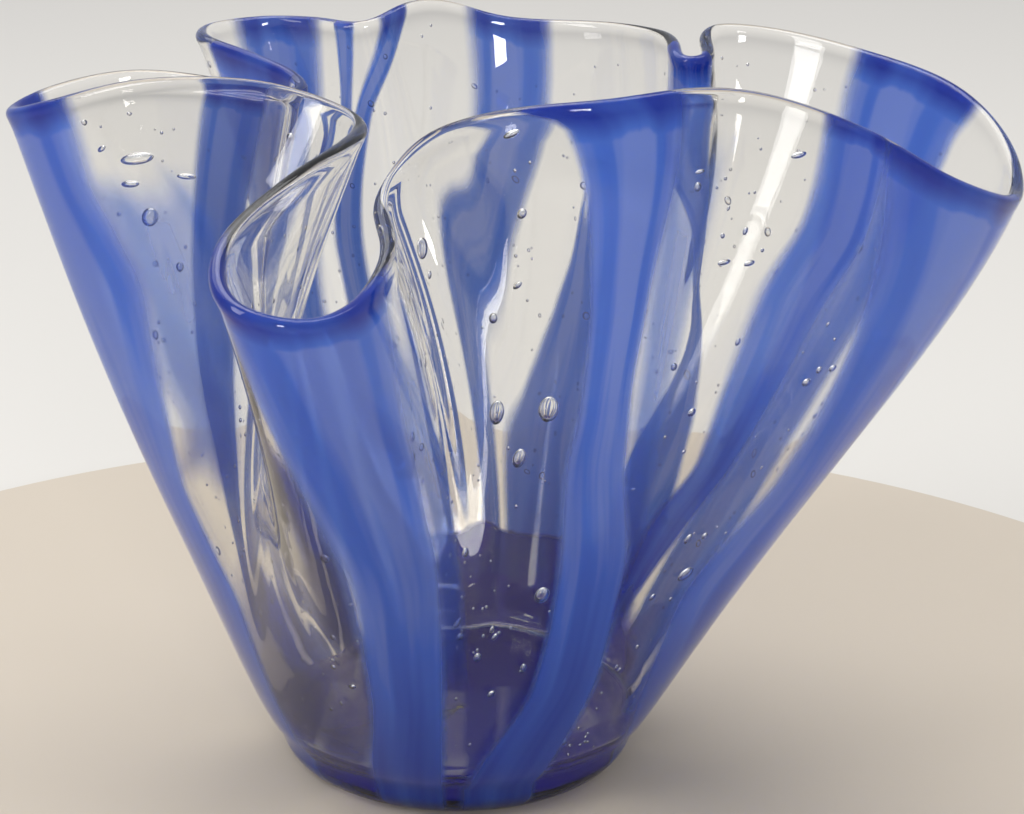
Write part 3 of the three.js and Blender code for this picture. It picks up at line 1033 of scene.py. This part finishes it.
def set_backdrop(settings):
    """A pale round table, and a pale floor that reaches out of sight all round it."""
    floor = add_object_of(
        bpy.ops.mesh.primitive_circle_add, "stage_floor",
        vertices=96, radius=FLOOR_REACH, fill_type="NGON",
        location=(0, 0, TABLE_TOP - TABLE_THICKNESS),
    )
    bpy.ops.object.transform_apply(location=True, rotation=True, scale=True)
    floor.data.materials.append(stage_material("floor", settings.floor_colour))
    table = add_object_of(
        bpy.ops.mesh.primitive_cylinder_add, "stage_table",
        vertices=160, radius=TABLE_REACH, depth=TABLE_THICKNESS,
        location=(0, 0, TABLE_TOP - TABLE_THICKNESS / 2),
    )
    bpy.ops.object.transform_apply(location=True, rotation=True, scale=True)
    table.data.materials.append(stage_material("table", settings.table_colour))


def softbox(name, place, size, power, colour=(1, 1, 1)):
    """A rectangular softbox that faces the middle of the bowl."""
    bpy.ops.object.light_add(type="AREA", location=place)
    light = bpy.context.object
    light.name = name
    light.data.shape = "RECTANGLE"
    light.data.size, light.data.size_y = size
    light.data.energy = power
    light.data.color = colour
    aim = Vector((0, 0, 0.1)) - Vector(place)
    light.rotation_euler = aim.to_track_quat("-Z", "Y").to_euler()
    return light


SUN_TURN = (math.radians(-28), math.radians(-24), 0)
SUN_SPREAD = math.radians(50)


def set_lights(scene, settings):
    power = settings.softbox_power
    softbox("window_left", (-1.2, -0.8, 1.2), (0.45, 1.3), power)
    softbox("window_front", (0.20, -1.45, 0.58), (0.34, 0.16), power * 0.55)
    softbox("softbox_top", (0.1, 0.5, 1.7), (1.4, 0.9), power)
    bpy.ops.object.light_add(type="SUN", rotation=SUN_TURN)
    sun = bpy.context.object
    sun.name = "even_light"
    sun.data.energy = settings.even_light
    sun.data.angle = SUN_SPREAD
    world = bpy.data.worlds.new("daylight")
    world.use_nodes = True
    sky = world.node_tree.nodes["Background"]
    sky.inputs["Color"].default_value = (0.93, 0.95, 1.0, 1)
    sky.inputs["Strength"].default_value = settings.daylight
    scene.world = world
    scene.view_settings.view_transform = "Standard"
    scene.cycles.max_bounces = 24
    scene.cycles.transmission_bounces = 20
    scene.cycles.transparent_max_bounces = 24
    scene.cycles.glossy_bounces = 8


CAMERA_PLACE = (0.0, -0.650, 0.318)
CAMERA_AIM = (0.0, 0.0, 0.100)
CAMERA_LENS = 86.8  # mm, on a sensor 36 mm wide
CAMERA_SHIFT = (0.0537, 0.0076)


def set_camera(scene):
    bpy.ops.object.camera_add(location=CAMERA_PLACE)
    camera = bpy.context.object
    camera.name = "camera"
    aim = Vector(CAMERA_AIM) - Vector(CAMERA_PLACE)
    camera.rotation_euler = aim.to_track_quat("-Z", "Y").to_euler()
    camera.data.lens = CAMERA_LENS
    camera.data.sensor_width = 36
    camera.data.shift_x, camera.data.shift_y = CAMERA_SHIFT
    camera.data.clip_start = 0.01
    scene.camera = camera


# ---- Panel ----


class BOWL_PT_panel(bpy.types.Panel):
    """The bowl's sizes, looks and pieces"""

    bl_idname = "BOWL_PT_panel"
    bl_label = "Handkerchief Bowl"
    bl_space_type = "VIEW_3D"
    bl_region_type = "UI"
    bl_category = "Bowl"

    def draw(self, context):
        layout = self.layout
        for group in PROPERTY_GROUPS.values():
            box = layout.box()
            settings = getattr(context.scene, group)
            for key in settings.bl_rna.properties.keys():
                if key not in ("rna_type", "name"):
                    box.prop(settings, key)
        for operator in OPERATORS:
            layout.operator(operator.bl_idname)


PROPERTY_GROUPS = {
    BowlSizes: "bowl_sizes",
    StripSizes: "bowl_strips",
    GlassLooks: "bowl_looks",
    StageSettings: "bowl_stage",
}
OPERATORS = (BOWL_OT_clear_glass, BOWL_OT_cobalt_strips, BOWL_OT_cobalt_veils, BOWL_OT_stage)
CLASSES = (*PROPERTY_GROUPS, *OPERATORS, BOWL_PT_panel)


def register():
    for cls in CLASSES:
        bpy.utils.register_class(cls)
    for group, name in PROPERTY_GROUPS.items():
        setattr(bpy.types.Scene, name, bpy.props.PointerProperty(type=group))


def unregister():
    for name in PROPERTY_GROUPS.values():
        delattr(bpy.types.Scene, name)
    for cls in reversed(CLASSES):
        bpy.utils.unregister_class(cls)


def main():
    register()
    bpy.ops.bowl.clear_glass()
    bpy.ops.bowl.cobalt_strips()
    bpy.ops.bowl.cobalt_veils()
    bpy.ops.bowl.stage()


if __name__ == "__main__":
    main()
